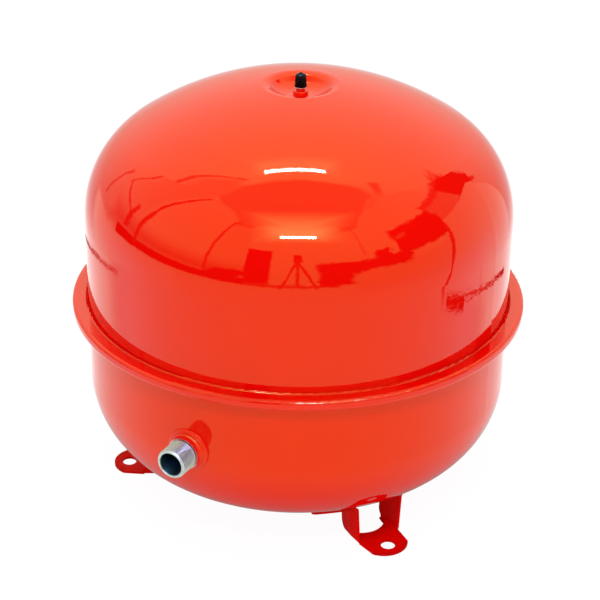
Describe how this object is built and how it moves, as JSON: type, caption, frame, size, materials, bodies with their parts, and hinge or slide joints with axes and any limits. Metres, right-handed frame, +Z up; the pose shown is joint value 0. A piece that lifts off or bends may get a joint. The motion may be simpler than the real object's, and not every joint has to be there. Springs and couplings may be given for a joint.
{
  "type": "expansion tank",
  "caption": "Floor-standing steel expansion tank: two domed shells clenched at a flat rim, side water nipple, air valve in a top recess and pressed feet.",
  "frame": {"origin": "on the tank's vertical axis at floor level, the centre of the circle of the three foot bolt holes", "axes": "+Z up along the tank's axis towards the air valve; -Y along the water nipple, outwards; +X completes the right hand"},
  "size_m": [0.404, 0.4182, 0.3914],
  "materials": {
    "red_enamel": "high-gloss orange-red stoved enamel",
    "zinc_plated_steel": "bright zinc plating over a cut thread",
    "nickel_plated_brass": "satin nickel plating, red enamel below the cap",
    "plain_brass": "turned brass",
    "spring_steel": "drawn wire",
    "black_plastic": "glossy moulded plastic",
    "butyl_rubber": "matt moulded rubber",
    "core_rubber": "smooth small rubber parts"
  },
  "bodies": {
    "tank": {"upper_shell": "red_enamel", "lower_shell": "red_enamel", "clench_ring": "red_enamel", "diaphragm": "butyl_rubber", "water_nipple": "zinc_plated_steel", "nipple_weld": "red_enamel", "valve_collar": "red_enamel", "valve_stem": "nickel_plated_brass", "core_barrel": "plain_brass", "core_gasket": "core_rubber", "core_spring": "spring_steel", "foot_right": "red_enamel", "foot_welds_right": "red_enamel", "foot_left": "red_enamel", "foot_welds_left": "red_enamel", "foot_rear": "red_enamel", "foot_welds_rear": "red_enamel"},
    "valve_cap": {"valve_cap": "black_plastic", "cap_seal": "core_rubber"},
    "core_pin": {"core_pin": "plain_brass", "core_seal": "core_rubber"}
  },
  "joints": [
    {"name": "cap_lift", "type": "slide", "parent": "tank", "child": "valve_cap", "axis": [0, 0, 1], "range_m": [0, 0.016]},
    {"name": "core_pin_press", "type": "slide", "parent": "tank", "child": "core_pin", "axis": [0, 0, -1], "range_m": [0, 0.0015], "stiffness_N_per_m": 1500, "deforming": ["core_spring"]}
  ]
}
